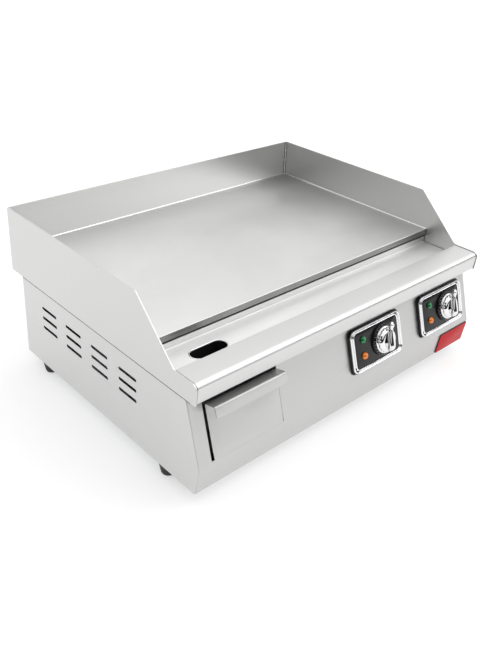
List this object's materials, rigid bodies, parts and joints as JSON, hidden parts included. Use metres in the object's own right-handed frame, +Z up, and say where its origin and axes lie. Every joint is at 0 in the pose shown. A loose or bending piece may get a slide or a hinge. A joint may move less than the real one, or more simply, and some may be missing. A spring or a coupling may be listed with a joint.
{
  "type": "electric griddle",
  "caption": "Countertop electric griddle: flat heated plate between splash guards, front grease trough with drain, grease drawer, control knobs and indicator lamps.",
  "frame": {"origin": "centre of the bounding box's bottom face, on the surface that the feet stand on", "axes": "+X to the operator's right, along the plate's long side; -Y towards the operator, where the knobs and the drawer are; +Z up"},
  "size_m": [0.6, 0.4772, 0.26],
  "materials": {
    "brushed_stainless": "fine horizontal brush",
    "ground_steel": "ground cooking surface",
    "galvanised_steel": "galvanised, dull",
    "chrome": "mirror",
    "black_plastic": "gloss black",
    "black_rubber": "matte",
    "element_sheath": "oxidised",
    "insulation": "ceramic wool",
    "thermostat_case": "moulded",
    "copper": "drawn copper",
    "lens_green": "faceted lens",
    "lens_amber": "faceted lens",
    "red_enamel": "gloss enamel",
    "terminal_plastic": "moulded",
    "brass": "turned",
    "shaft_steel": "turned"
  },
  "bodies": {
    "chassis": {"base_pan": "galvanised_steel", "left_side_panel": "brushed_stainless", "right_side_panel": "brushed_stainless", "rear_panel": "brushed_stainless", "front_panel": "brushed_stainless", "front_rail": "brushed_stainless", "left_splash_guard": "brushed_stainless", "right_splash_guard": "brushed_stainless", "rear_splash_guard": "brushed_stainless", "griddle_plate": "ground_steel", "plate_support_left": "galvanised_steel", "plate_support_right": "galvanised_steel", "heating_element_left": "element_sheath", "heating_element_right": "element_sheath", "element_clamp_left": "galvanised_steel", "element_clamp_right": "galvanised_steel", "reflector_pan": "galvanised_steel", "insulation_pad": "insulation", "thermostat_left": "thermostat_case", "thermostat_right": "thermostat_case", "sensor_left": "copper", "sensor_right": "copper", "bezel_gasket_left": "black_rubber", "bezel_gasket_right": "black_rubber", "control_bezel_left": "chrome", "control_bezel_right": "chrome", "bezel_insert_left": "black_plastic", "bezel_insert_right": "black_plastic", "lamp_green_left": "lens_green", "lamp_green_right": "lens_green", "lamp_amber_left": "lens_amber", "lamp_amber_right": "lens_amber", "badge_plate": "red_enamel", "drawer_guide_left": "galvanised_steel", "drawer_guide_right": "galvanised_steel", "drain_spout": "brushed_stainless", "terminal_block": "terminal_plastic", "cable_gland": "black_plastic", "gland_locknut": "black_plastic", "earth_stud": "brass", "foot_front_left": "black_rubber", "foot_screw_front_left": "galvanised_steel", "foot_front_right": "black_rubber", "foot_screw_front_right": "galvanised_steel", "foot_rear_left": "black_rubber", "foot_screw_rear_left": "galvanised_steel", "foot_rear_right": "black_rubber", "foot_screw_rear_right": "galvanised_steel"},
    "drawer": {"drawer_front": "brushed_stainless", "drawer_box": "brushed_stainless"},
    "knob_left": {"control_knob_left": "chrome", "dial_ring_left": "black_plastic", "knob_shaft_left": "shaft_steel"},
    "knob_right": {"control_knob_right": "chrome", "dial_ring_right": "black_plastic", "knob_shaft_right": "shaft_steel"}
  },
  "joints": [
    {"name": "drawer_slide", "type": "slide", "parent": "chassis", "child": "drawer", "axis": [0, -1, 0], "range_m": [0, 0.17]},
    {"name": "knob_left_turn", "type": "hinge", "parent": "chassis", "child": "knob_left", "pos_m": [0.0665, -0.20783, 0.10587], "axis": [0, -0.9587, 0.2846], "range_deg": [-270, 0]},
    {"name": "knob_right_turn", "type": "hinge", "parent": "chassis", "child": "knob_right", "pos_m": [0.2332, -0.20783, 0.10587], "axis": [0, -0.9587, 0.2846], "range_deg": [-270, 0]}
  ]
}
